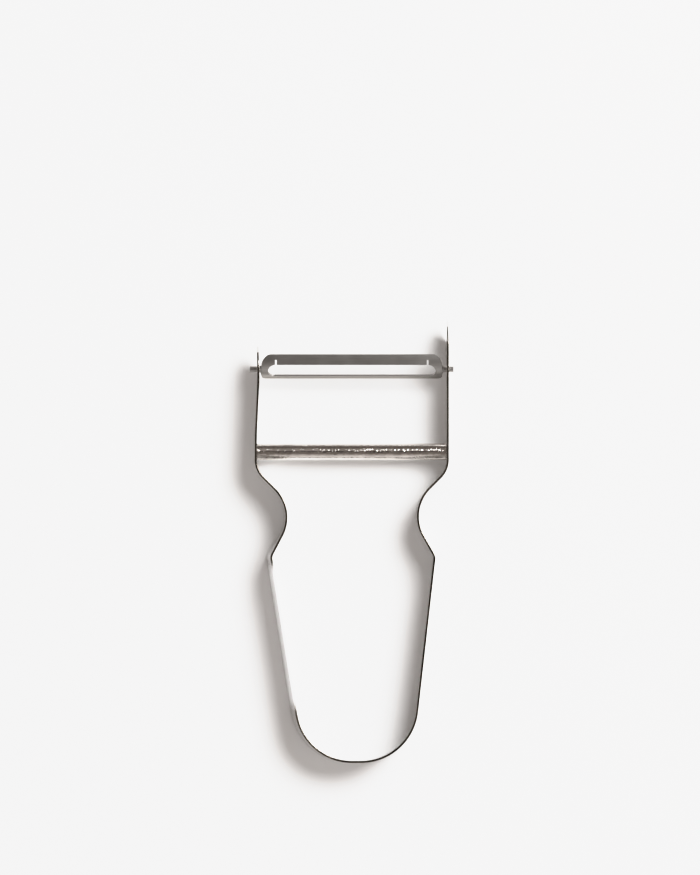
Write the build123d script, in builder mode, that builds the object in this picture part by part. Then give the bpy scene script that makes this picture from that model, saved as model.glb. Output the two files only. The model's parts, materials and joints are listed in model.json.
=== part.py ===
from build123d import *
import os
from math import cos, radians, sin, tan

# A strip-metal swivel peeler, lying on the long edges of its strip.
# X runs across the arms, Y from the foot of the handle to the blade, Z up.
# The origin is under the middle of the whole peeler, on the surface it lies on.

# Overall sizes, in millimetres
overall_length = 112.4
strip_width = 13.0
strip_thickness = 0.6
arm_spacing = 48.6

# Stations of the frame, measured down the handle from the line of the two pivots
pivot_to_tongue_tip = 12.7
pivot_to_arm_bow = 2.0
pivot_to_crossbar = 20.9
pivot_to_bulge = 47.4

# How far in from the arms the straight runs of the strip's middle would meet
throat_inset = 10.05
bulge_inset = 3.6
foot_inset = 10.7

# How far each arm turns in at its shoulder, in degrees
shoulder_turn = 45.0

# Bend radii at the strip's middle
arm_bow_radius = 60.0
shoulder_radius = 6.1
throat_radius = 10.1
bulge_radius = 2.3
foot_radius = 14.3

# Bending by hand leaves the frame a little uneven
foot_drift = 1.5            # the foot sits this far to the right of the arms
arm_bow = 0.7               # the left arm springs this far in towards the blade
arm_flare = 0.3             # and its tip stands this far out again
leg_splay = 1.1             # the left leg's lower edge stands this far outside its upper edge
bow_above_crossbar = 1.6    # the left arm is straight from the shoulder to this far above the crossbar

# The ends of the arms, seen from the side: round above and cut back below, as their shadows show
pivot_to_arm_tip = 5.9
arm_end_radius = 5.5
end_land = 0.5              # straight bit of the tip between the round corner and the cut one
cut_radius = 1.0            # at both ends of the 45 degree cut
pivot_from_upper_edge = 4.3

# The ground edge round the tongue's tip, for cutting out potato eyes
ground_edge_width = 0.9
ground_edge_depth = 0.4

# Crossbar, riveted into both arms
crossbar_diameter = 4.2
tenon_diameter = 2.6

# Blade: a slotted sheet, arched across its width
blade_end_gap = 1.1         # from a straight arm to the blade's end
blade_sheet = 0.45
blade_arch_radius = 5.0     # to the middle of the sheet
blade_half_angle = 51.2     # from the crown to either long edge, in degrees
blade_corner_radius = 2.4
slot_half_angle = 20.7      # from the crown to either lip of the slot, in degrees
slot_end_land = 1.65        # sheet left beyond each end of the slot

# The cutting lip: a flat tongue of the sheet between two relief slits
lip_root_angle = 35.0       # where the lip leaves the arch, in degrees from the crown
lip_length = 1.28
lip_bevel = 0.9
slit_width = 0.45
slit_from_slot_end = 1.8

# Pins: tabs at the ends of the blade, rolled into open tubes
pin_diameter = 1.5
pin_stand_out = 1.22        # how far a pin shows outside a straight arm
pin_root = 0.6              # how far its roll runs in under the blade
pin_gap_angle = 80.0        # what the roll leaves open, in degrees
pin_drop = 0.1              # the roll's top lies this far under the blade's crown
pin_clearance = 0.08        # radial, in the arm's hole

# How far the loose blade hangs tipped towards the handle in its rest pose, in degrees
blade_tilt = 41.0

# Tools that cut run this far past what they cut
overrun = 2.0

# Places worked out from the sizes above
half_strip = strip_width / 2
pivot_y = overall_length / 2 - pivot_to_tongue_tip
foot_y = -overall_length / 2 + strip_thickness / 2
bulge_y = pivot_y - pivot_to_bulge
crossbar_y = pivot_y - pivot_to_crossbar
bow_start_y = crossbar_y + crossbar_diameter / 2 + bow_above_crossbar
pivot_z = strip_width - pivot_from_upper_edge
left_tip_y = pivot_y + pivot_to_arm_tip
tongue_centre_y = overall_length / 2 - half_strip
arm_x = arm_spacing / 2
outer_face_x = arm_x + strip_thickness / 2
inner_face_x = arm_x - strip_thickness / 2

# Each shoulder's bend starts level with the underside of the crossbar
shoulder_y = crossbar_y - crossbar_diameter / 2 - shoulder_radius * tan(radians(shoulder_turn) / 2)
throat_y = shoulder_y - throat_inset / tan(radians(shoulder_turn))
throat_x = arm_x - throat_inset
bulge_x = arm_x - bulge_inset
foot_x = arm_x - foot_inset


def drift(y):
    """How far the handle has drifted to the right at y, growing from the throat to the foot."""
    return foot_drift * (throat_y - y) / (throat_y - foot_y)


def strip_middle(splay):
    """Corners and bend radii of the strip's middle line, with the left leg set out by splay."""
    corners = [
        (-arm_x + arm_bow - arm_flare, left_tip_y + overrun),
        (-arm_x + arm_bow, pivot_y - pivot_to_arm_bow),
        (-arm_x, bow_start_y),
        (-arm_x, shoulder_y),
        (-throat_x, throat_y),
        (-bulge_x + drift(bulge_y) - splay, bulge_y),
        (-foot_x + foot_drift - splay, foot_y),
        (foot_x + foot_drift, foot_y),
        (bulge_x + drift(bulge_y), bulge_y),
        (throat_x, throat_y),
        (arm_x, shoulder_y),
        (arm_x, overall_length / 2 + overrun),
    ]
    leg_radii = [shoulder_radius, throat_radius, bulge_radius, foot_radius]
    return corners, [arm_bow_radius, arm_bow_radius] + leg_radii + leg_radii[::-1]


# Frame strip: one long strip, bent on its flat into the arms, the waist and the loop of the handle
upper_corners, bend_radii = strip_middle(0)
lower_corners, bend_radii = strip_middle(leg_splay)
with BuildPart() as frame_strip:
    for level, corners in ((0, lower_corners), (strip_width, upper_corners)):
        with BuildSketch(Plane.XY.offset(level)):
            with BuildLine():
                FilletPolyline(*corners, radius=bend_radii)
                offset(amount=strip_thickness / 2, side=Side.BOTH)
            make_face()
    loft(ruled=True)

    # Seen from the side, each end has a round upper corner and a straight cut across its lower one
    for tip_y, top_radius, side in (
        (left_tip_y, arm_end_radius, -1),
        (overall_length / 2, half_strip, 1),
    ):
        cut = strip_width - top_radius - end_land
        back_y = tip_y - strip_width
        with BuildSketch(Plane.YZ):
            with Locations((back_y, half_strip)):
                Rectangle(
                    strip_width + 2 * overrun,
                    strip_width + 2 * overrun,
                    align=(Align.MIN, Align.CENTER),
                )
            with BuildLine():
                FilletPolyline(
                    (back_y, strip_width),
                    (tip_y, strip_width),
                    (tip_y, cut),
                    (tip_y - cut, 0),
                    (back_y, 0),
                    radius=[top_radius, cut_radius, cut_radius],
                )
                Line((back_y, 0), (back_y, strip_width))
            make_face(mode=Mode.SUBTRACT)
        extrude(amount=side * (outer_face_x + overrun), mode=Mode.SUBTRACT)

    # The ground edge is a shallow cone, set down by its own width so that it fades out at the sides
    cone_centre_y = tongue_centre_y - ground_edge_width
    cone_slope = ground_edge_width / ground_edge_depth
    rim = half_strip + ground_edge_width
    with BuildSketch(Plane(origin=(0, cone_centre_y, half_strip), x_dir=(0, 1, 0), z_dir=(0, 0, -1))):
        with BuildLine():
            Polyline(
                (half_strip - cone_slope * overrun, -outer_face_x - overrun),
                (rim, -outer_face_x + ground_edge_depth),
                (rim + overrun, -outer_face_x + ground_edge_depth),
                (rim + overrun, -outer_face_x - overrun),
                close=True,
            )
        make_face()
    revolve(
        axis=Axis((0, cone_centre_y, half_strip), (1, 0, 0)),
        revolution_arc=180,
        mode=Mode.SUBTRACT,
    )

    # Pivot holes for the blade's pins, and smaller seats for the crossbar's tenons
    with BuildSketch(Plane.YZ):
        with Locations((pivot_y, pivot_z)):
            Circle(pin_diameter / 2 + pin_clearance)
        with Locations((crossbar_y, half_strip)):
            Circle(tenon_diameter / 2)
    extrude(amount=outer_face_x + overrun, both=True, mode=Mode.SUBTRACT)

frame_strip.part.label = "frame_strip"

# Crossbar: a round rod between the arms, with a tenon through each arm, riveted flush outside
with BuildPart() as crossbar:
    with BuildSketch(Plane.YZ):
        with Locations((crossbar_y, half_strip)):
            Circle(crossbar_diameter / 2)
    extrude(amount=inner_face_x, both=True)
    with BuildSketch(Plane.YZ):
        with Locations((crossbar_y, half_strip)):
            Circle(tenon_diameter / 2)
    extrude(amount=outer_face_x, both=True)

crossbar.part.label = "crossbar"

# Blade: drawn in its own tipped plane, with the pins' axis at the plane's origin
tilt = radians(blade_tilt)
pivot = (0, pivot_y, pivot_z)
section_plane = Plane(origin=pivot, x_dir=(0, cos(tilt), sin(tilt)), z_dir=(1, 0, 0))
crown_plane = Plane(origin=pivot, x_dir=(1, 0, 0), z_dir=(0, -sin(tilt), cos(tilt)))
blade_length = 2 * (inner_face_x - blade_end_gap)
pin_reach = outer_face_x + pin_stand_out - blade_length / 2
sheet_outer = blade_arch_radius + blade_sheet / 2
sheet_inner = blade_arch_radius - blade_sheet / 2
arch_centre = (0, pin_diameter / 2 + pin_drop - sheet_outer)
blade_chord = 2 * sheet_outer * sin(radians(blade_half_angle))
slot_width = 2 * sheet_outer * sin(radians(slot_half_angle))
slot_length = blade_length - 2 * slot_end_land
slit_outside = slot_length / 2 - slit_from_slot_end
slit_inside = slit_outside - slit_width


def on_arch(radius, angle):
    """A point of the arch's section, by its distance from the arch's centre and its angle from the crown."""
    return (radius * sin(radians(angle)), arch_centre[1] + radius * cos(radians(angle)))


def arch_band(from_angle, to_angle, inner, outer):
    """Closed outline of a piece of the arched sheet's section; angles count from the crown to the upper edge."""
    for radius in (inner, outer):
        CenterArc(arch_centre, radius, start_angle=90 - to_angle, arc_size=to_angle - from_angle)
    for angle in (from_angle, to_angle):
        Line(on_arch(inner, angle), on_arch(outer, angle))


with BuildPart() as blade:
    with BuildSketch(section_plane):
        with BuildLine():
            arch_band(-blade_half_angle, blade_half_angle, sheet_inner, sheet_outer)
        make_face()
    extrude(amount=blade_length / 2, both=True)
    with BuildSketch(crown_plane):
        RectangleRounded(blade_length, blade_chord, blade_corner_radius)
    extrude(amount=sheet_outer, both=True, mode=Mode.INTERSECT)

    # The slot that the peel passes through
    with BuildSketch(crown_plane):
        SlotOverall(slot_length, slot_width)
    extrude(amount=sheet_outer, both=True, mode=Mode.SUBTRACT)

    # Between the slits the arch is cut back, and the flat cutting lip takes its place
    with BuildSketch(section_plane):
        with BuildLine():
            arch_band(0, lip_root_angle, sheet_inner - overrun, sheet_outer + overrun)
        make_face()
    extrude(amount=slit_outside, both=True, mode=Mode.SUBTRACT)
    with BuildSketch(section_plane):
        with BuildLine():
            root = radians(lip_root_angle)
            along = (-cos(root), sin(root))
            outer_root = on_arch(sheet_outer, lip_root_angle)
            inner_root = on_arch(sheet_inner, lip_root_angle)
            flat = lip_length - lip_bevel
            Polyline(
                outer_root,
                (outer_root[0] + lip_length * along[0], outer_root[1] + lip_length * along[1]),
                (inner_root[0] + flat * along[0], inner_root[1] + flat * along[1]),
                inner_root,
                close=True,
            )
        make_face()
    extrude(amount=slit_inside, both=True)

    # The rolled pins, open along the blade's hollow side
    wedge_reach = pin_diameter
    wedge_side = wedge_reach * sin(radians(pin_gap_angle / 2))
    wedge_depth = wedge_reach * cos(radians(pin_gap_angle / 2))
    for side in (-1, 1):
        with BuildSketch(section_plane.offset(side * (blade_length / 2 - pin_root))):
            Circle(pin_diameter / 2)
            Circle(pin_diameter / 2 - blade_sheet, mode=Mode.SUBTRACT)
            with BuildLine():
                Polyline((0, 0), (-wedge_side, -wedge_depth), (wedge_side, -wedge_depth), close=True)
            make_face(mode=Mode.SUBTRACT)
        extrude(amount=side * (pin_reach + pin_root))

blade.part.label = "blade"

os.makedirs("parts", exist_ok=True)
export_step(frame_strip.part, "parts/frame_strip.step")
export_step(crossbar.part, "parts/crossbar.step")
export_step(blade.part, "parts/blade.step")
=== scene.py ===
# %% [markdown]
# A strip-metal vegetable peeler, lying on a pale table and seen from straight above. The real thing
# is three pieces of steel: a strip bent into the handle and both arms, a rod across the arms, and a
# slotted blade that swings on its own rolled ends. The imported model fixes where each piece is. This
# script gives each one its true edges, its bends without facets and its finish, and then sets up
# the table, the light and the camera.

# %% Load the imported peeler
import json
import math

import bmesh
import bpy
from mathutils import Matrix, Vector


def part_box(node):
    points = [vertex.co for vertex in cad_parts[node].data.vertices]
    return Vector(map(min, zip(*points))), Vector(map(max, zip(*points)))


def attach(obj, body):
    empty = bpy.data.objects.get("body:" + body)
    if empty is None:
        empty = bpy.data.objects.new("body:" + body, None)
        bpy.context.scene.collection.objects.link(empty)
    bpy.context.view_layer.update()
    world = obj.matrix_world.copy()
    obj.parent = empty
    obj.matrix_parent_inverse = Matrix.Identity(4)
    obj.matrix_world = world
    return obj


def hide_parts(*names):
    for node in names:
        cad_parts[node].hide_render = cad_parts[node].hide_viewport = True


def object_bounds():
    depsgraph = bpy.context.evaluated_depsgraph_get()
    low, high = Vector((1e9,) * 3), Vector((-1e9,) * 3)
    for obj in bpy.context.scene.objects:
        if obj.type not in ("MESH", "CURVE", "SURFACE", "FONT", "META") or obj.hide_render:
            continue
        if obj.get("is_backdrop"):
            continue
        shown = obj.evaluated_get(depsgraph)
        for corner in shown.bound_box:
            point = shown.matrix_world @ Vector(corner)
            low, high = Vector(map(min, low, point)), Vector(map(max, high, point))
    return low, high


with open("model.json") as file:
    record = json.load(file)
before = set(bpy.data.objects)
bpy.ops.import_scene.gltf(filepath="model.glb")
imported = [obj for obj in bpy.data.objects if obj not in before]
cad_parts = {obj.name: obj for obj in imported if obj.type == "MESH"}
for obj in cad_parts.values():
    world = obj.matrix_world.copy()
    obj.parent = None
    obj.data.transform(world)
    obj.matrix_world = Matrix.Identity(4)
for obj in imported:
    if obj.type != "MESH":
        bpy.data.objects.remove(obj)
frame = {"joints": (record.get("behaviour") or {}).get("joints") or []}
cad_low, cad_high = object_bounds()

print("the packed peeler measures", [round(side, 4) for side in cad_high - cad_low], "metres")

# %% [markdown]
# The sheets are about half a millimetre thick, and the roundings of their edges are far smaller
# than that. Modifiers keep small sizes apart best when the numbers aren't tiny, so every piece is
# built in millimetres and brought to metres when it is finished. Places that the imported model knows
# are read from it, and only the sizes that it can't tell are given here.

# %% Read the peeler's places, in millimetres
metre = 1000.0


def box_in_mm(node):
    """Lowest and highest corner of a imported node, in millimetres."""
    low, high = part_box(node)
    return low * metre, high * metre


strip_low, strip_high = box_in_mm("frame_strip")
bar_low, bar_high = box_in_mm("crossbar")
_, blade_high = box_in_mm("blade")
pivot = Vector(frame["joints"][0]["pos_m"]) * metre

strip_width = strip_high.z - strip_low.z
half_width = strip_width / 2
bar_radius = (bar_high.y - bar_low.y) / 2
bar_y = (bar_high.y + bar_low.y) / 2
print("pivot line at", [round(value, 2) for value in pivot], "strip", round(strip_width, 2), "mm wide")

# %% [markdown]
# A sheet-metal worker would draw the strip's middle line first: straight runs joined by bends. The
# same line is made here from its corners and its bend radii. A curve object could hold it, but a
# curve's bevel can't give a strip that leans, so the line is kept as runs and arcs that can be
# asked for a point at any share of their length.

# %% Straight runs and bends


def left_of(way):
    """The direction a quarter turn to the left of another."""
    return Vector((-way.y, way.x))


class Run:
    """A straight run of the middle line."""

    def __init__(self, start, end):
        self.start, self.heading = start, (end - start).normalized()
        self.length = (end - start).length

    def at(self, share):
        """The place and the heading at this share of the run."""
        return self.start + self.heading * self.length * share, self.heading


class Bend:
    """A bend of the middle line, which starts along heading and turns left by turn."""

    def __init__(self, start, heading, radius, turn):
        self.reach = -left_of(heading) * math.copysign(radius, turn)
        self.centre, self.heading, self.turn = start - self.reach, heading, turn
        self.length = radius * abs(turn)

    def at(self, share):
        """The place and the heading at this share of the bend."""
        spin = Matrix.Rotation(self.turn * share, 2)
        return self.centre + spin @ self.reach, spin @ self.heading


def line_through(corners, radii):
    """Runs and bends through the corners, one bend for each corner between the ends."""
    pieces, start = [], corners[0]
    for before, corner, after, radius in zip(corners, corners[1:], corners[2:], radii):
        arriving, leaving = (corner - before).normalized(), (after - corner).normalized()
        turn = math.atan2(arriving.x * leaving.y - arriving.y * leaving.x, arriving.dot(leaving))
        setback = radius * math.tan(abs(turn) / 2)
        bend_start = corner - arriving * setback
        pieces += [Run(start, bend_start), Bend(bend_start, arriving, radius, turn)]
        start = corner + leaving * setback
    return pieces + [Run(start, corners[-1])]


# %% [markdown]
# Each arm of the real peeler turns in at a shoulder and out again at a throat, meets the leg at a
# bulge, and the legs run down to the foot. The photograph shows small things that a mirrored half
# would lose, so all the corners are given: the left arm bows in, its end flares out, and the foot
# has drifted to the right. Places are measured in from the arms and down from the pivots or the
# rod, so that the handle follows them. The left leg leans outwards, so the strip's lower edge has a
# line of its own there.

# %% The strip's sizes along its middle line
strip_thickness = 0.6
pivot_to_arm_tip = 5.9
pivot_to_arm_bow = 2.0
pivot_to_bulge = 47.4
bow_above_crossbar = 1.6
throat_inset, bulge_inset, foot_inset = 10.05, 3.6, 10.7
shoulder_turn = math.radians(45)
arm_bow_radius, shoulder_radius, throat_radius, bulge_radius, foot_radius = 60.0, 6.1, 10.1, 2.3, 14.3
foot_drift, arm_bow, arm_flare, leg_splay = 1.5, 0.7, 0.24, 1.1

arm_x = strip_high.x - strip_thickness / 2
left_tip_y = pivot.y + pivot_to_arm_tip
bow_y = pivot.y - pivot_to_arm_bow
bow_start_y = bar_y + bar_radius + bow_above_crossbar
shoulder_y = bar_y - bar_radius - shoulder_radius * math.tan(shoulder_turn / 2)
throat_y = shoulder_y - throat_inset / math.tan(shoulder_turn)
bulge_y = pivot.y - pivot_to_bulge
foot_y = strip_low.y + strip_thickness / 2
throat_x, bulge_x, foot_x = arm_x - throat_inset, arm_x - bulge_inset, arm_x - foot_inset
bulge_drift = foot_drift * (throat_y - bulge_y) / (throat_y - foot_y)
print("shoulders, throats and bulges at y", [round(y, 2) for y in (shoulder_y, throat_y, bulge_y)], "mm")

# %% The middle line, at the strip's upper and its lower edge


def middle_line(splay):
    """The strip's middle line, from the left arm's tip round the foot to the tip of the tongue."""
    corners = [
        (-arm_x + arm_bow - arm_flare, left_tip_y),
        (-arm_x + arm_bow, bow_y),
        (-arm_x, bow_start_y),
        (-arm_x, shoulder_y),
        (-throat_x, throat_y),
        (-bulge_x + bulge_drift - splay, bulge_y),
        (-foot_x + foot_drift - splay, foot_y),
        (foot_x + foot_drift, foot_y),
        (bulge_x + bulge_drift, bulge_y),
        (throat_x, throat_y),
        (arm_x, shoulder_y),
        (arm_x, strip_high.y),
    ]
    side_radii = [shoulder_radius, throat_radius, bulge_radius, foot_radius]
    radii = [arm_bow_radius, arm_bow_radius] + side_radii + side_radii[::-1]
    return line_through([Vector(corner) for corner in corners], radii)


upper_line, lower_line = middle_line(0), middle_line(leg_splay)
strip_length = sum(piece.length for piece in upper_line)
print("the flat strip would be", round(strip_length, 1), "mm long")

# %% [markdown]
# The real strip is cut flat, with two shaped ends and four holes, and bent afterwards. The mesh is
# made the same way: a point of the flat blank is named by how far along and how far across it lies,
# and how far out from the middle of the sheet, and one function bends it into place. The left leg
# leans, so the function measures across the leaning sheet. Lowering a leaning edge by what its
# corner would rise keeps it on the table.

# %% Bend a point of the flat blank into place


def on_strip(along, across, out):
    """The place of a point of the blank: along and across it, and out from the sheet's middle."""
    for upper, lower in zip(upper_line, lower_line):
        if along <= upper.length or upper is upper_line[-1]:
            break
        along -= upper.length
    (top, heading), (bottom, _) = upper.at(along / upper.length), lower.at(along / upper.length)
    rise = Vector((*(top - bottom), strip_width)).normalized()
    facing = Vector((*heading, 0)).cross(rise).normalized()
    sink = strip_thickness / 2 * abs(facing.z)
    level = across / strip_width
    height = sink + (strip_width - 2 * sink) * level
    return Vector((*bottom.lerp(top, level), height)) + facing * out


print("the foot's middle is at", [round(value, 2) for value in on_strip(strip_length / 2, half_width, 0)])

# %% [markdown]
# The right arm's end is the tongue that digs the eyes out of potatoes. Its rim is ground thinner on
# the outer side, which a knife maker would do on a wheel. The grinding is a slope that starts on a
# curve a little inside the rim, so it is worked out for any place of the blank, and the mesh gets
# an edge on that curve.

# %% The ground rim of the tongue
half_sheet = strip_thickness / 2
ground_width, ground_depth = 0.9, 0.4
ground_start = strip_length - half_width - ground_width


def ground_away(along, across):
    """How much the grinding takes off the outer side at this place of the blank."""
    reach = math.hypot(along - ground_start, across - half_width) if along > ground_start else 0
    return max(0, reach - half_width) * ground_depth / ground_width


def ground_line(place, outward):
    """How far in from this place of the tongue's edge the grinding starts."""
    from_centre = place - Vector((ground_start, half_width))
    facing = from_centre.dot(outward)
    return facing - math.sqrt(facing**2 - from_centre.length_squared + half_width**2)


print("the tongue's tip is ground by", round(ground_away(strip_length, half_width), 2), "mm")

# %% [markdown]
# Seen from the side, each end of the strip is round above and cut back at 45 degrees below, as the
# ends of its shadows show. The mesh has columns that run across the strip from its lower to its
# upper edge. At an end, the feet of the columns climb the cut while their heads come down round the
# curve, until both meet at the tip, so the ends are made of the same even faces as the rest.
# Cutting them with a boolean would be simpler, but it would leave slivers where the rounded edge
# has to be even.

# %% Columns of the shaped ends
arm_end_radius = 5.5
end_land = 0.5
cut_radius = 1.0
corner_steps, slope_steps = 7, 8
support_inset = 0.2


def walk(pieces, counts):
    """Evenly spaced places and headings along each of the pieces, and at the end of the last."""
    found = [piece.at(step / count) for piece, count in zip(pieces, counts) for step in range(count)]
    return found + [pieces[-1].at(1)]


def end_columns(top_radius):
    """Columns of an end, towards its tip: place and outward direction at the lower and at the upper edge."""
    behind = strip_width
    cut = strip_width - top_radius - end_land
    lower_corners = [(behind, 0), (cut, 0), (0, cut), (0, cut + end_land)]
    upper_corners = [(behind, strip_width), (0, strip_width), (0, cut)]
    _, *cut_edge, _ = line_through([Vector(corner) for corner in lower_corners], [cut_radius, cut_radius])
    _, round_edge, _ = line_through([Vector(corner) for corner in upper_corners], [top_radius])
    feet = walk(cut_edge, (corner_steps, slope_steps, corner_steps))
    heads = walk([round_edge], [2 * corner_steps + slope_steps])
    return [
        ((foot, left_of(foot_way)), (head, -left_of(head_way)))
        for (foot, foot_way), (head, head_way) in zip(feet, heads)
    ]


def clear_of(end):
    """How far from the tip the plain columns can start."""
    (foot, _), _ = end[0]
    return foot.x + support_inset


arm_end, tongue_end = end_columns(arm_end_radius), end_columns(half_width)
arm_end_clear, tongue_clear = clear_of(arm_end), clear_of(tongue_end)
print("the shaped ends take", round(arm_end_clear, 1), "and", round(tongue_clear, 1), "mm of the strip")

# %% [markdown]
# Between the ends a column is simply straight across. A bend needs columns close together to look
# round, while a run needs few, and each of the two says for itself how many it needs.

# %% Columns all along the strip
longest_face = 4.0
bend_step = math.radians(3)


def middle_stations():
    """Where the columns between the shaped ends stand: close together in a bend, further apart in a run."""
    found, start = [], 0
    for piece in upper_line:
        count = math.ceil(piece.length / longest_face)
        if isinstance(piece, Bend):
            count = max(count, math.ceil(abs(piece.turn) / bend_step))
        found += [start + piece.length * step / count for step in range(count)]
        start += piece.length
    return [along for along in found if arm_end_clear < along < strip_length - tongue_clear]


def plain_column(along):
    """A column straight across the blank."""
    return (Vector((along, 0)), Vector((0, -1))), (Vector((along, strip_width)), Vector((0, 1)))


columns = arm_end[::-1] + [plain_column(along) for along in middle_stations()]
tongue_start = len(columns)
for column in tongue_end:
    columns.append([
        (Vector((strip_length - place.x, place.y)), Vector((-outward.x, outward.y)))
        for place, outward in column
    ])
print(len(columns), "columns")

# %% [markdown]
# Slit and tumbled strip has softly rounded edges, and on a thin edge seen from above that rounding
# is most of what shows. A bevel modifier could round them, but it struggles where columns of faces
# crowd into a shaped end. So the edge is drawn as a few rings that run round the whole blank, each
# set in a little and stepped round the sheet's thickness. The first ring follows the curve where
# the tongue's grinding starts.

# %% Rings round the edge of the blank
edge_round = 0.1
edge_steps = 4

quarter = [math.pi / 2 * step / edge_steps for step in range(edge_steps + 1)]
outer_rim = [
    (edge_round * (1 - math.sin(turn)), half_sheet - edge_round * (1 - math.cos(turn)))
    for turn in quarter
]
rim = [(support_inset, half_sheet)] + outer_rim
rim += [(inset, -out) for inset, out in reversed(rim)]
print(len(rim), "rings")

# %% Build the strip from its rings


def strip_mesh():
    """The closed strip, bent, with the flat blank kept as its texture map."""
    shape = bmesh.new()
    blank = shape.loops.layers.uv.new("blank")
    places, rings = {}, []
    for number, (inset, out) in enumerate(rim):
        sides = []
        for side in (0, 1):
            row = []
            for spot, column in enumerate(columns):
                place, outward = column[side]
                on_ground_line = number == 0 and spot >= tongue_start
                depth = max(inset, ground_line(place, outward)) if on_ground_line else inset
                along, across = place - outward * depth
                surface = min(out, half_sheet - ground_away(along, across))
                vertex = shape.verts.new(on_strip(along, across, surface))
                places[vertex] = (along, across)
                row.append(vertex)
            sides.append(row)
        rings.append(sides[0] + sides[1][::-1])
    for ring, following in zip(rings, rings[1:]):
        for spot in range(len(ring)):
            shape.faces.new((ring[spot - 1], ring[spot], following[spot], following[spot - 1]))
    for ring in (rings[0], rings[-1]):
        for spot in range(len(columns) - 1):
            shape.faces.new((ring[spot], ring[spot + 1], ring[-2 - spot], ring[-1 - spot]))
    bmesh.ops.recalc_face_normals(shape, faces=shape.faces)
    for face in shape.faces:
        for corner in face.loops:
            corner[blank].uv = places[corner.vert]
    return shape


def new_object(name, shape):
    """An object made of a finished bmesh, still in millimetres."""
    mesh = bpy.data.meshes.new(name)
    shape.to_mesh(mesh)
    shape.free()
    made = bpy.data.objects.new(name, mesh)
    bpy.context.scene.collection.objects.link(made)
    return made


strip = new_object("bent_strip", strip_mesh())
print("strip", len(strip.data.polygons), "faces")

# %% [markdown]
# Turned pieces, such as the rod and the punch that makes a hole, are an outline spun about a line.
# A spin tool would do it, but a short loop keeps the count of sides and the line in view. All of
# them turn about a line along X here.

# %% Turn an outline about a line along X


def turned(outline, centre, sides):
    """A closed bmesh from (x, radius) pairs, spun about the X line through centre."""
    shape = bmesh.new()
    rings = []
    for x, radius in outline:
        ring = []
        for side in range(sides):
            angle = math.tau * side / sides
            y, z = centre.y + radius * math.cos(angle), centre.z + radius * math.sin(angle)
            ring.append(shape.verts.new((x, y, z)))
        rings.append(ring)
    for ring, following in zip(rings, rings[1:]):
        for spot in range(sides):
            shape.faces.new((ring[spot - 1], ring[spot], following[spot], following[spot - 1]))
    shape.faces.new(rings[0])
    shape.faces.new(rings[-1])
    bmesh.ops.recalc_face_normals(shape, faces=shape.faces)
    return shape


def with_modifiers(piece):
    """Makes the piece's modifiers part of its mesh."""
    bpy.context.view_layer.update()
    evaluated = piece.evaluated_get(bpy.context.evaluated_depsgraph_get())
    finished = bpy.data.meshes.new_from_object(evaluated)
    piece.modifiers.clear()
    piece.data = finished
    return piece


# %% [markdown]
# The holes are punched, so their rims are drawn in a little on both faces. Each arm has one for a
# pin of the blade and one for a thinner end of the rod. A punch shaped like a bobbin, wider outside
# the sheet than in it, cuts the hole and softens its rims in one boolean cut.

# %% Punch the holes in the arms
pin_radius = 0.75
pin_clearance = 0.08
tenon_radius = 1.3
rim_softening = 0.06
punch_sides = 48
punch_reach = 1.0


def punch(along, height, radius):
    """A bobbin-shaped cutter through the arm, at this length along the strip and this height."""
    centre = on_strip(along, height, 0)
    wide = radius + rim_softening
    flat = half_sheet - rim_softening
    half_outline = [(flat, radius), (half_sheet, wide), (half_sheet + punch_reach, wide + punch_reach)]
    outline = [(centre.x - x, wall) for x, wall in reversed(half_outline)]
    outline += [(centre.x + x, wall) for x, wall in half_outline]
    return new_object("punch", turned(outline, centre, punch_sides))


holes = [(pivot.y, pivot.z, pin_radius + pin_clearance), (bar_y, half_width, tenon_radius)]
for y, height, radius in holes:
    for along in (left_tip_y - y, strip_length - strip_high.y + y):
        cutter = punch(along, height, radius)
        cut = strip.modifiers.new("hole", "BOOLEAN")
        cut.operation, cut.solver, cut.object = "DIFFERENCE", "EXACT", cutter
        with_modifiers(strip)
        bpy.data.objects.remove(cutter)
print("strip with its holes", len(strip.data.polygons), "faces")

# %% [markdown]
# The rod between the arms is turned: a thick middle, and thinner ends that pass through the arms
# and are hammered flat outside them. Its corners are eased, and the hammered ends are a little
# dished.

# %% Turn the crossbar
tenon_x = bar_high.x
shoulder_x = tenon_x - strip_thickness
bar_easing = 0.12
rivet_easing = 0.1
dish_radius, dish_depth = 0.9, 0.06
bar_sides = 96

half_bar = [
    (shoulder_x - bar_easing, bar_radius),
    (shoulder_x - bar_easing / 3, bar_radius - bar_easing / 3),
    (shoulder_x, bar_radius - bar_easing),
    (shoulder_x, tenon_radius),
    (tenon_x - rivet_easing, tenon_radius),
    (tenon_x, tenon_radius - rivet_easing),
    (tenon_x - dish_depth / 2, dish_radius),
    (tenon_x - dish_depth, dish_radius / 2),
]
bar_outline = [(-x, radius) for x, radius in reversed(half_bar)] + half_bar
bar = new_object("turned_crossbar", turned(bar_outline, Vector((0, bar_y, half_width)), bar_sides))
print("crossbar", len(bar.data.polygons), "faces")

# %% [markdown]
# The blade is a slotted piece of sheet, arched across, with a tab at each end that is rolled into a
# pin. It hangs tipped from its pins, so its sizes are given beside the pivot line: x along it, an
# angle from the arch's crown, and a height towards the crown.

# %% The blade's sizes
blade_tilt = math.radians(41)
blade_end_gap = 1.1
blade_sheet = 0.45
arch_radius = 5.0
edge_angle = math.radians(51.2)
corner_radius = 2.4
slot_angle = math.radians(20.7)
slot_end_land = 1.65
lip_root = math.radians(35)
lip_length, lip_bevel, lip_edge = 1.28, 0.9, 0.07
slit_width, slit_from_slot_end = 0.45, 1.8
pin_drop = 0.1
pin_gap = math.radians(80)

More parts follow.
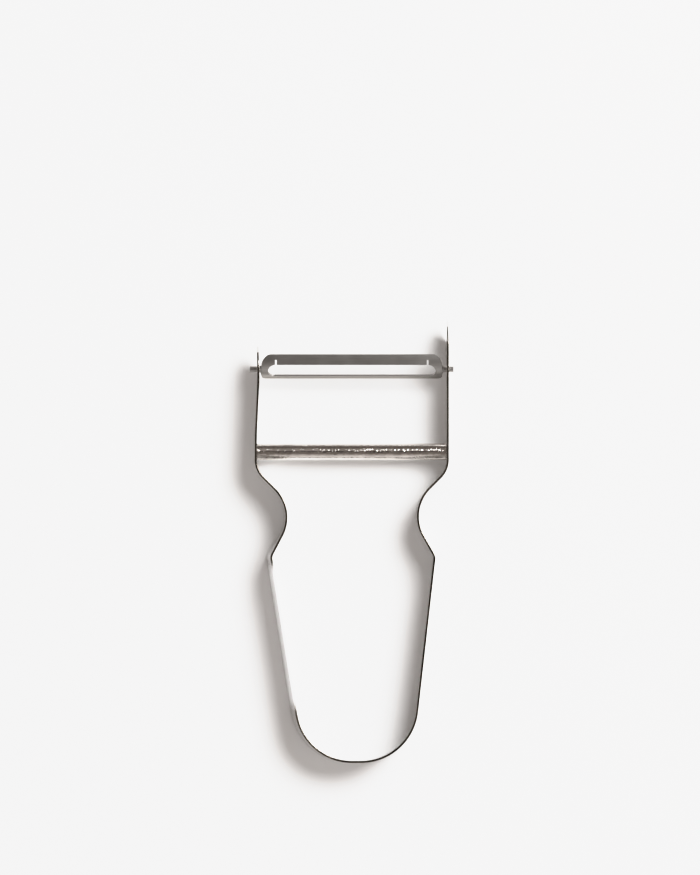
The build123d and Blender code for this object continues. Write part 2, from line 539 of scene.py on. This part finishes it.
outer_radius = arch_radius + blade_sheet / 2
blade_end = shoulder_x - blade_end_gap
pin_end = blade_high.x
crown_height = pin_radius + pin_drop
slot_half = outer_radius * math.sin(slot_angle)
edge_half = outer_radius * math.sin(edge_angle)
slot_turn_x = blade_end - slot_end_land - slot_half
corner_x = blade_end - corner_radius
slit_outside = blade_end - slot_end_land - slit_from_slot_end
slit_inside = slit_outside - slit_width
across_blade = Vector((0, math.cos(blade_tilt), math.sin(blade_tilt)))
crown = Vector((0, -math.sin(blade_tilt), math.cos(blade_tilt)))


def on_blade(x, lateral, height):
    """A place beside the pivot line: along it, across the blade and up towards its crown."""
    return pivot + Vector((x, 0, 0)) + across_blade * lateral + crown * height


def on_arch(x, angle):
    """A place on the blade's outer face, by its angle from the crown."""
    return on_blade(x, outer_radius * math.sin(angle), crown_height - outer_radius * (1 - math.cos(angle)))


print("the blade is", round(2 * blade_end, 1), "mm long and", round(2 * edge_half, 1), "mm across its arch")

# %% [markdown]
# The blade starts as a flat blank too: a ring of sheet round the slot, with a tab at each end. Here
# the ring is a grid that runs once round the slot, a few rows wide. Rows follow the slot on one
# side and the outline on the other, so the long edges, the round ends and the corners all fall on
# edges of the grid. A grid cut by booleans would need less thought, but its faces would be long
# slivers that shade badly once the sheet is arched. A station is one line of the grid across the
# ring. Round the slot's ends the stations fan out like rays.

# %% Stations of the grid
rows, root_row = 12, 6
end_reach = blade_end - slot_turn_x


def spread(start, end, steps):
    """Evenly spaced values from start to end, both included."""
    return [start + (end - start) * step / steps for step in range(steps + 1)]


def outline_on_ray(angle):
    """Where a ray from the centre of the slot's round end meets the blade's outline."""
    ray = Vector((math.cos(angle), math.sin(angle)))
    long_edge = edge_half / max(abs(ray.y), ray.x * edge_half / end_reach)
    point = ray * long_edge
    if point.x > corner_x - slot_turn_x and abs(point.y) > edge_half - corner_radius:
        corner = Vector((corner_x - slot_turn_x, math.copysign(edge_half - corner_radius, ray.y)))
        nearest = ray.dot(corner)
        point = ray * (nearest + math.sqrt(nearest**2 - corner.length_squared + corner_radius**2))
    return slot_turn_x + point.x, point.y


def ray_station(angle):
    """A station across the sheet at the slot's round end: place and angle from the crown at each row."""
    inner = (slot_turn_x + slot_half * math.cos(angle), slot_half * math.sin(angle))
    outer = outline_on_ray(angle)
    bends = [math.asin(side / outer_radius) for side in (inner[1], outer[1])]
    return list(zip(spread(inner[0], outer[0], rows), spread(*bends, rows)))


def upright_station(x, inner, root, outer):
    """A station straight across the sheet, with one row on the line where the lip leaves the arch."""
    bends = spread(inner, root, root_row)[:-1] + spread(root, outer, rows - root_row)
    return [(x, bend) for bend in bends]


print(rows, "rows across, and the lip leaves the arch at row", root_row)

# %% Rays round the slot's end
tab_steps = 20
round_corner_steps = 7
above_corner_steps, below_corner_steps = 1, 2
first_ray = math.radians(84)
roll_radius = pin_radius - blade_sheet / 2
tab_half = (math.pi - pin_gap / 2) * roll_radius

tab_shares = spread(1, -1, tab_steps)
tab_sides = [outer_radius * math.sin(share * tab_half / arch_radius) for share in tab_shares]
tab_rays = [math.atan2(side, end_reach) for side in tab_sides]
corner_low_ray = math.atan2(edge_half - corner_radius, end_reach)
corner_high_ray = math.atan2(edge_half, corner_x - slot_turn_x)
corner_rays = spread(corner_high_ray, corner_low_ray, round_corner_steps)[1:]
upper_rays = spread(first_ray, corner_high_ray, above_corner_steps) + corner_rays
mirrored_rays = spread(math.pi / 2, corner_high_ray, below_corner_steps) + corner_rays
lower_rays = [-angle for angle in reversed(mirrored_rays)]
end_stations = [ray_station(angle) for angle in upper_rays + tab_rays + lower_rays]
first_tab_station = len(upper_rays)
print(len(end_stations), "rays round each end of the slot")

# %% Stations once round the slot
long_steps = 46
middle_of_lower = (slot_angle + edge_angle) / 2

right_half = [upright_station(slit_outside, slot_angle, lip_root, edge_angle)] + end_stations
left_half = [[(-x, bend) for x, bend in station] for station in reversed(right_half)]
upper_run = [
    upright_station(x, slot_angle, lip_root, edge_angle)
    for x in spread(-slit_inside, slit_inside, long_steps)
]
lower_run = [
    upright_station(x, -slot_angle, -middle_of_lower, -edge_angle)
    for x in spread(slot_turn_x, -slot_turn_x, long_steps)[1:-1]
]
stations = upper_run + right_half + lower_run + left_half
print(len(stations), "stations round the slot")

# %% [markdown]
# Between two short slits the slot's upper edge is bent flat to make the cutting lip, and ground to
# an edge from the hollow side. The grid leaves out the cells of the slits. Each tab narrows its
# bend as it leaves the blade, so that the same width of sheet that is nearly flat at the blade's
# end has rolled into an open tube where it enters the arm. The grid is only the outer face. A
# solidify modifier gives it the sheet's thickness, less of it along the ground lip.

# %% The flat lip and the rolled tabs
curl_length = 0.38
curl_steps = 10
roll_steps = 8


def lip_place(x, row):
    """A place on the flat lip, which runs on straight from the arch."""
    from_root = lip_length * (1 - row / root_row)
    return on_arch(x, lip_root) + (crown * math.sin(lip_root) - across_blade * math.cos(lip_root)) * from_root


def eased(share):
    """A share from 0 to 1 that starts and ends gently."""
    return share * share * (3 - 2 * share)


def tab_place(x, share):
    """A place on a tab's outer face: share runs from -1 to 1 across it."""
    curl = eased(min(1, (abs(x) - blade_end) / curl_length))
    bend = 1 / arch_radius + (1 / roll_radius - 1 / arch_radius) * curl
    radius, angle = 1 / bend + blade_sheet / 2, share * tab_half * bend
    height = crown_height - pin_drop * curl - radius * (1 - math.cos(angle))
    return on_blade(x, radius * math.sin(angle), height)


tab_columns = spread(blade_end, blade_end + curl_length, curl_steps)[1:]
tab_columns += spread(blade_end + curl_length, pin_end, roll_steps)[1:]
print("each tab is", round(2 * tab_half, 1), "mm wide and gets", len(tab_columns), "columns")

# %% Build the blade from its stations


def blade_mesh():
    """The blade's outer face, and how much of the sheet's thickness each of its vertices keeps."""
    shape = bmesh.new()
    thickness = shape.verts.layers.deform.verify()
    grid = []
    for number, station in enumerate(stations):
        column = []
        for row, (x, bend) in enumerate(station):
            on_lip = number < len(upper_run) and row < root_row
            vertex = shape.verts.new(lip_place(x, row) if on_lip else on_arch(x, bend))
            kept = lip_length * row / root_row / lip_bevel if on_lip else 1
            vertex[thickness][0] = min(1, kept)
            column.append(vertex)
        grid.append(column)
    slits = (len(upper_run) - 1, len(stations) - 1)
    for number, column in enumerate(grid):
        following = grid[(number + 1) % len(grid)]
        for row in range(root_row if number in slits else 0, rows):
            shape.faces.new((column[row], following[row], following[row + 1], column[row + 1]))
    first_right = len(upper_run) + 1 + first_tab_station
    first_left = len(stations) - 1 - first_tab_station - tab_steps - 1
    for side, first in ((1, first_right), (-1, first_left)):
        edge = [grid[number][rows] for number in range(first, first + tab_steps + 1)]
        for x in tab_columns:
            row = []
            for share in tab_shares:
                vertex = shape.verts.new(tab_place(side * x, side * share))
                vertex[thickness][0] = 1
                row.append(vertex)
            for spot in range(tab_steps):
                shape.faces.new((edge[spot], edge[spot + 1], row[spot + 1], row[spot]))
            edge = row
    bmesh.ops.recalc_face_normals(shape, faces=shape.faces)
    if sum(face.normal.dot(crown) for face in shape.faces) < 0:
        bmesh.ops.reverse_faces(shape, faces=shape.faces)
    return shape


blade = new_object("slotted_blade", blade_mesh())
blade.vertex_groups.new(name="sheet")
print("blade's outer face", len(blade.data.polygons), "faces")

# %% Give the blade its thickness
true_edge = math.radians(40)
edge_easing, easing_segments = 0.03, 2

sheet = blade.modifiers.new("sheet", "SOLIDIFY")
sheet.thickness, sheet.offset = blade_sheet, -1
sheet.vertex_group, sheet.thickness_vertex_group = "sheet", lip_edge / blade_sheet
easing = blade.modifiers.new("easing", "BEVEL")
easing.width, easing.segments = edge_easing, easing_segments
easing.limit_method, easing.angle_limit = "ANGLE", true_edge
with_modifiers(blade)
print("blade", len(blade.data.polygons), "faces")

# %% [markdown]
# Everything is the right shape now, in millimetres. Each piece is shaded smooth, except across its
# true edges. Weighted normals let the broad faces keep their own direction, so the narrow eased
# edges take up all of the turn, as they do on metal. That is settled before the piece is brought to
# metres, because faces this small measured in square metres are too slight for the modifier to
# weigh. Then the piece is handed to the frame: the body that it moves with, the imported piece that
# it stands for, and the finish that it takes.

# %% Finish a piece


def finish_piece(piece, body, node, metal):
    """Shades a piece, brings it to metres and hands it to the frame."""
    piece.data.shade_smooth()
    piece.data.set_sharp_from_angle(angle=true_edge)
    evened = piece.modifiers.new("evened", "WEIGHTED_NORMAL")
    evened.keep_sharp = True
    with_modifiers(piece)
    piece.data.transform(Matrix.Scale(1 / metre, 4))
    piece.data.materials.clear()
    piece.data.materials.append(metal)
    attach(piece, body)
    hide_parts(node)
    print(piece.name, "stands for", node, "on", body)


# %% [markdown]
# A finish is a small tree of nodes. A few helpers keep the trees readable: one adds a node and
# feeds it, and the others add the nodes that every finish here is made of. Noise is given as its
# scale, how many finer layers it has and how strong those are. A mix node has sockets of the same
# names for each kind of value, so its colour sockets are asked for by number. Bare metal has no
# colour of its own under the reflections, so its base colour is how much it reflects, a little less
# blue than red on steel.

# %% Nodes for a finish
noise_range = (0.3, 0.7)
first_colour, second_colour, mixed_colour = 6, 7, 2


def add_node(tree, kind, feeds, **settings):
    """Adds a node, with its settings, and feeds its inputs with values or with other nodes' outputs."""
    added = tree.nodes.new(kind)
    for name, value in settings.items():
        setattr(added, name, value)
    for name, value in feeds.items():
        if isinstance(value, bpy.types.NodeSocket):
            tree.links.new(value, added.inputs[name])
        else:
            added.inputs[name].default_value = value
    return added


def stretched(tree, place, scales):
    """Coordinates multiplied along each axis. A noise on them is finer where the number is larger."""
    return add_node(tree, "ShaderNodeMapping", {"Vector": place, "Scale": scales}).outputs[0]


def noise(tree, place, scale, layers, strength):
    """Soft random values between 0 and 1."""
    feeds = {"Vector": place, "Scale": scale, "Detail": layers, "Roughness": strength}
    return add_node(tree, "ShaderNodeTexNoise", feeds).outputs["Fac"]


def maths(tree, operation, *values):
    """One sum on values or on other nodes' outputs."""
    return add_node(tree, "ShaderNodeMath", dict(enumerate(values)), operation=operation).outputs[0]


def carried(tree, value, start, end):
    """Carries the values of the span start over to the span end, and holds them there."""
    feeds = {"Value": value, "From Min": start[0], "From Max": start[1], "To Min": end[0], "To Max": end[1]}
    return add_node(tree, "ShaderNodeMapRange", feeds).outputs[0]


def blended(tree, factor, first, second):
    """The first colour where the factor is 0 and the second where it is 1."""
    feeds = {"Factor": factor, first_colour: first, second_colour: second}
    return add_node(tree, "ShaderNodeMix", feeds, data_type="RGBA").outputs[mixed_colour]


def warm(grey, warmth, blue_loss=2):
    """A grey that gives up a share of its green, and blue_loss times that share of its blue."""
    return grey, grey * (1 - warmth), grey * (1 - blue_loss * warmth), 1


def greys(tree, factor, two_greys, warmth):
    """A ramp between two greys over the middle values of a noise."""
    ramp = add_node(tree, "ShaderNodeValToRGB", {"Fac": factor})
    for stop, position, grey in zip(ramp.color_ramp.elements, noise_range, two_greys):
        stop.position, stop.color = position, warm(grey, warmth)
    return ramp.outputs["Color"]


print("noise runs mostly from", noise_range[0], "to", noise_range[1])

# %% [markdown]
# Every piece of the peeler is metal, so the next helpers start a metal, feed its shader and give it
# a fine relief. The relief is bump and not geometry, because scratches and ripples a few hundredths
# of a millimetre deep, or less, only show in the shine.

# %% Start a metal


def new_metal(name):
    """A metal's material, its tree and its shader."""
    metal = bpy.data.materials.new(name)
    metal.use_nodes = True
    shader = metal.node_tree.nodes["Principled BSDF"]
    shader.inputs["Metallic"].default_value = 1
    return metal, metal.node_tree, shader


def join(tree, source, shader, socket):
    """Links a node's output to one of the shader's inputs."""
    tree.links.new(source, shader.inputs[socket])


def relief(tree, shader, height, strength, depth):
    """Makes the shader see a fine relief."""
    bump = add_node(tree, "ShaderNodeBump", {"Strength": strength, "Distance": depth, "Height": height})
    join(tree, bump.outputs[0], shader, "Normal")


# %% [markdown]
# The strip is cold rolled and polished on a belt before it is bent, so its faint lines run along it and
# follow every bend. The blank's own map gives that for nothing: noise is stretched far along the map's first
# axis. Handling leaves the polish a little uneven, which a second, broad noise gives. The slit edges get a
# darker, brownish colour than the faces, which is painted shade for the dark line that they show from above.
# The left leg shows light where a polished one would mirror its own shadow, so its polish fades into satin
# there, and its faces and edges also get a lighter colour, which is painted light. Runs and bends of the
# middle line take turns, so the run after corner five, counted from zero, is its piece ten.

# %% Polished strip
slit_edge = 0.16
bulge_corner = 5
leg_fade = 4.0
line_stretch, line_noise = (0.02, 5, 1), (1.6, 6, 0.7)
handling_noise = (0.12, 3, 0.6)
face_greys, face_warmth = (0.48, 0.64), 0.02
# Painted shade: the slit edges get a darker, brownish colour for the dark line they show from above.
edge_shade_greys, edge_shade_warmth = (0.16, 0.4), 0.12
# Painted light: the left leg's faces and edges get lighter colours than the rest of the strip, for the light
# the leg shows.
leg_painted_light_greys, leg_edge_painted_light_greys, leg_painted_light_warmth = (0.7, 0.84), (0.62, 0.78), 0
patch_range, polish_range = (0.1, 0.45), (0.08, 0.18)
satin_roughness = 0.54
line_strength, line_depth = 0.12, 0.00002

left_leg = 2 * bulge_corner
leg_half = upper_line[left_leg].length / 2
leg_middle = sum(piece.length for piece in upper_line[:left_leg]) + leg_half


def polished_strip():
    """Bright rolled steel, with fine lines along it, slit edges painted darker as shade, and a satin left leg
    that is painted lighter as light.
    """
    metal, tree, shader = new_metal("polished_strip_steel")
    blank = add_node(tree, "ShaderNodeUVMap", {}, uv_map="blank").outputs["UV"]
    lines = noise(tree, stretched(tree, blank, line_stretch), *line_noise)
    handled = noise(tree, blank, *handling_noise)
    on_blank = add_node(tree, "ShaderNodeSeparateXYZ", {"Vector": blank}).outputs
    from_edge = maths(tree, "PINGPONG", on_blank["Y"], half_width)
    on_edge = carried(tree, from_edge, (0, slit_edge), (1, 0))
    from_leg = maths(tree, "ABSOLUTE", maths(tree, "SUBTRACT", on_blank["X"], leg_middle))
    on_leg = carried(tree, from_leg, (leg_half - leg_fade, leg_half), (1, 0))
    bright_face = greys(tree, lines, face_greys, face_warmth)
    # Painted light: the left leg's faces and edges are given lighter colours.
    painted_light_leg_face = greys(tree, lines, leg_painted_light_greys, leg_painted_light_warmth)
    # Painted shade: the slit edges are given a darker colour than the faces.
    painted_shade_edge = greys(tree, handled, edge_shade_greys, edge_shade_warmth)
    painted_light_leg_edge = greys(tree, lines, leg_edge_painted_light_greys, leg_painted_light_warmth)
    face = blended(tree, on_leg, bright_face, painted_light_leg_face)
    edge = blended(tree, on_leg, painted_shade_edge, painted_light_leg_edge)
    join(tree, blended(tree, on_edge, face, edge), shader, "Base Color")
    polish = carried(tree, maths(tree, "MULTIPLY", lines, handled), patch_range, polish_range)
    satin = add_node(tree, "ShaderNodeMix", {"Factor": on_leg, "A": polish, "B": satin_roughness})
    join(tree, satin.outputs[0], shader, "Roughness")
    relief(tree, shader, lines, line_strength, line_depth)
    return metal


finish_piece(strip, "frame", "frame_strip", polished_strip())

# %% [markdown]
# The rod is plated straight over drawn wire, and the plating keeps the wire's tiny pits and
# ripples. They break its highlight into specks about half a millimetre across. A broader noise
# stains the plating a little.

# %% Plated rod
rod_stretch = (metre, metre * 0.8, metre * 0.8)
ripple_noise, stain_noise = (2.1, 1, 0.5), (0.35, 3, 0.55)
plating_greys, plating_warmth = (0.54, 0.7), 0.06
plating_roughness = (0.06, 0.14)
ripple_strength, ripple_depth = 0.68, 0.0001


def plated_rod():
    """Bright plating with a mottled skin."""
    metal, tree, shader = new_metal("plated_rod")
    place = add_node(tree, "ShaderNodeTexCoord", {}).outputs["Object"]
    on_rod = stretched(tree, place, rod_stretch)
    ripples = noise(tree, on_rod, *ripple_noise)
    stains = noise(tree, on_rod, *stain_noise)
    join(tree, greys(tree, stains, plating_greys, plating_warmth), shader, "Base Color")
    join(tree, carried(tree, ripples, noise_range, plating_roughness), shader, "Roughness")
    relief(tree, shader, ripples, ripple_strength, ripple_depth)
    return metal


finish_piece(bar, "frame", "crossbar", plated_rod())

# %% [markdown]
# The blade is ground along its length after it is stamped, which leaves it satin. Its lines are
# drawn out along X, the pivot line, and they turn with the blade because object coordinates do.
# Such lines spread a reflection across them and hardly along them, which is what anisotropy gives.
# Ground steel is also duller than polished steel where it is seen at a shallow angle, so the
# shader's specular tint, which a metal shows only there, is a warm grey.

# %% Ground blade
grinding_stretch = (metre * 0.04, metre * 4, metre * 4)
grinding_noise, wear_noise = (1.2, 5, 0.7), (metre * 0.3, 3, 0.6)
ground_greys, ground_warmth = (0.31, 0.39), 0.035
ground_roughness = (0.28, 0.34)
grinding_strength, grinding_depth = 0.2, 0.00002
shine_spread = 0.85
shallow_tint = (0.46, 0.41, 0.36, 1)


def ground_blade():
    """Satin steel, ground along the blade."""
    metal, tree, shader = new_metal("ground_blade_steel")
    place = add_node(tree, "ShaderNodeTexCoord", {}).outputs["Object"]
    lines = noise(tree, stretched(tree, place, grinding_stretch), *grinding_noise)
    worn = noise(tree, place, *wear_noise)
    join(tree, greys(tree, lines, ground_greys, ground_warmth), shader, "Base Color")
    join(tree, carried(tree, worn, noise_range, ground_roughness), shader, "Roughness")
    relief(tree, shader, lines, grinding_strength, grinding_depth)
    across_lines = add_node(tree, "ShaderNodeTangent", {}, direction_type="RADIAL", axis="X")
    join(tree, across_lines.outputs[0], shader, "Tangent")
    shader.inputs["Anisotropic"].default_value = shine_spread
    shader.inputs["Specular Tint"].default_value = shallow_tint
    return metal


finish_piece(blade, "blade", "blade", ground_blade())

# %% [markdown]
# The peeler lies on a white table that fills the picture. It is one large face just under the
# peeler, far larger than any view of it, with a dull and very slightly uneven surface.

# %% White table
table_half = 4.0
table_gap = 0.00003
table_white, table_cloud = 0.9, 0.005
cloud_noise = (30, 2, 0.5)
table_roughness, table_shine = 0.8, 0.2

table_shape = bmesh.new()
table_corners = [
    (-table_half, -table_half),
    (table_half, -table_half),
    (table_half, table_half),
    (-table_half, table_half),
]
table_shape.faces.new([table_shape.verts.new((x, y, -table_gap)) for x, y in table_corners])
table = new_object("white_table", table_shape)
table_top = bpy.data.materials.new("dull_white_table")
table_top.use_nodes = True
table_tree, table_shader = table_top.node_tree, table_top.node_tree.nodes["Principled BSDF"]
on_table = add_node(table_tree, "ShaderNodeTexCoord", {}).outputs["Object"]
cloudy = noise(table_tree, on_table, *cloud_noise)
whites = greys(table_tree, cloudy, (table_white - table_cloud, table_white + table_cloud), 0)
join(table_tree, whites, table_shader, "Base Color")
table_shader.inputs["Roughness"].default_value = table_roughness
table_shader.inputs["Specular IOR Level"].default_value = table_shine
table.data.materials.append(table_top)
table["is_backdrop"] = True
print("table", table_half * 2, "metres wide")

# %% [markdown]
# The picture was lit by one large soft box, up and to the right, and by the room. The strip is 13
# mm high, and its shadow has a dark core about 2 mm wide, to the left and below, and then fades
# over some 10 mm. The core's end gives the box's near edge and the fading gives its size. A round
# area lamp is placed by the same slopes.

# %% Soft box
box_slope = Vector((0.53, 0.463, 1))
box_height = 0.6
box_width = 0.46
box_power = 9.3
box_aim = Vector((0, 0, half_width / metre))

lamp = bpy.data.lights.new("soft_box", "AREA")
lamp.shape, lamp.size, lamp.energy = "DISK", box_width, box_power
soft_box = bpy.data.objects.new("soft_box", lamp)
soft_box.location = box_slope * box_height
soft_box.rotation_mode = "QUATERNION"
soft_box.rotation_quaternion = (soft_box.location - box_aim).to_track_quat("Z", "Y")
bpy.context.scene.collection.objects.link(soft_box)
print("soft box at", [round(value, 2) for value in soft_box.location], "metres")

# %% [markdown]
# Polished metal shows the room more than the lamp. Straight above the table it is dark, where the
# camera and the ceiling are. Lower down, the room is dark beyond the top of the picture and bright
# below its bottom edge, where the window side is. Two ramps give the brightness from straight up
# down to table height, one for each side, and the height and the side of each direction choose
# between them. The darker a part of the room is, the warmer it is, as the browns in the rod's dark
# bands show.

# %% The room that the metal reflects
top_side = [
    (0, 0.05),
    (0.06, 0.07),
    (0.13, 0.26),
    (0.27, 0.28),
    (0.43, 0.3),
    (0.6, 0.13),
    (0.78, 0.2),
    (0.9, 0.2),
    (1, 0.3),
]
bottom_side = [
    (0, 0.05),
    (0.06, 0.07),
    (0.18, 0.25),
    (0.34, 0.19),
    (0.5, 0.54),
    (0.67, 0.85),
    (0.85, 1),
    (1, 1),
]
least_warmth, dark_warmth, room_blue_loss = 0.025, 0.12, 1.6
side_reach = 0.8
new_stop = 0.5


def room_ramp(tree, drop, stops):
    """A ramp of grey brightness over how far a direction has dropped from straight up, 0 to 1."""
    ramp = add_node(tree, "ShaderNodeValToRGB", {"Fac": drop})
    points = ramp.color_ramp.elements
    while len(points) < len(stops):
        points.new(new_stop)
    for point, (position, grey) in zip(points, stops):
        warmth = least_warmth + dark_warmth * (1 - grey)
        point.position, point.color = position, warm(grey, warmth, room_blue_loss)
    return ramp.outputs["Color"]


room = bpy.data.worlds.new("room")
bpy.context.scene.world = room
room.use_nodes = True
room_tree = room.node_tree
direction = add_node(room_tree, "ShaderNodeTexCoord", {}).outputs["Generated"]
parts = add_node(room_tree, "ShaderNodeSeparateXYZ", {"Vector": direction}).outputs
angle_down = maths(room_tree, "ARCCOSINE", parts["Z"])
drop = maths(room_tree, "DIVIDE", angle_down, math.pi / 2)
towards_top = maths(room_tree, "DIVIDE", parts["Y"], maths(room_tree, "SINE", angle_down))
side_share = carried(room_tree, towards_top, (-side_reach, side_reach), (0, 1))
below, above = room_ramp(room_tree, drop, bottom_side), room_ramp(room_tree, drop, top_side)
reflected_room = blended(room_tree, side_share, below, above)
print("room ramps", len(top_side), "and", len(bottom_side), "stops")

# %% [markdown]
# Two kinds of ray see the room a little differently. Views from the side would show it behind the
# table, so rays that come straight from a camera see a plain pale backdrop. The shadows in the
# photograph are lighter than this room alone would leave them, so rays that light a dull surface,
# which is the table, find it somewhat brighter than the metal does.

# %% Backdrop and fill
backdrop = 0.91
fill_gain = 0.28

ray = add_node(room_tree, "ShaderNodeLightPath", {}).outputs
shown = blended(room_tree, ray["Is Camera Ray"], reflected_room, (backdrop, backdrop, backdrop, 1))
gained = maths(room_tree, "MULTIPLY_ADD", ray["Is Diffuse Ray"], fill_gain, 1)
background = room_tree.nodes["Background"]
join(room_tree, shown, background, "Color")
join(room_tree, gained, background, "Strength")
print("the table gets", 1 + fill_gain, "times the room's light")

# %% [markdown]
# The picture was taken from straight above and from far off, so that the strip's walls don't show.
# The camera stands four metres up with a long lens. Its picture is as tall as the peeler's own size
# and the photograph's scale say.

# %% Camera
camera_height = 4.0
picture_height = 0.221375
picture_centre = (-0.000443, 0.0262)
sensor = 36.0
farthest_seen = 12.0

lens = bpy.data.cameras.new("overhead_camera")
lens.sensor_fit, lens.sensor_width = "AUTO", sensor
lens.lens = sensor * (camera_height - strip_width / metre) / picture_height
lens.clip_end = farthest_seen
camera = bpy.data.objects.new("overhead_camera", lens)
camera.location = (*picture_centre, camera_height)
bpy.context.scene.collection.objects.link(camera)
bpy.context.scene.camera = camera
print("lens", round(lens.lens), "mm")

# %% [markdown]
# The photograph is printed light: the table is almost white, and half as much light again changes
# it very little, while the metal keeps its contrast. A straight view transform with a curve does
# that. The curve is a straight line up to light grey, nearly flat round the white of the table, and
# then climbs slowly so that highlights on metal still reach white.

# %% Tone of the print
tone_stops = [
    (0, 0),
    (0.76, 0.77),
    (0.93, 0.855),
    (1.12, 0.896),
    (1.3, 0.91),
    (1.8, 0.92),
    (2.6, 0.96),
    (4, 1),
]
all_channels = 3

view = bpy.context.scene.view_settings
view.view_transform = "Standard"
view.use_curve_mapping = True
tone = view.curve_mapping
tone.clip_max_x, tone.clip_max_y = tone_stops[-1]
tone_line = tone.curves[all_channels].points
while len(tone_line) < len(tone_stops):
    tone_line.new(*tone_stops[-1])
for point, stop in zip(tone_line, tone_stops):
    point.location, point.handle_type = stop, "VECTOR"
tone.update()
print("tone curve", [tuple(round(value, 3) for value in point.location) for point in tone_line])

# %% [markdown]
# The finished peeler must be as big as the imported one. The two boxes are compared, and their largest
# difference is printed.

# %% Compare the sizes
visual_low, visual_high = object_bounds()
gaps = [abs(packed - made) for packed, made in zip((*cad_low, *cad_high), (*visual_low, *visual_high))]
print("differs at most", round(max(gaps) * metre, 3), "mm")
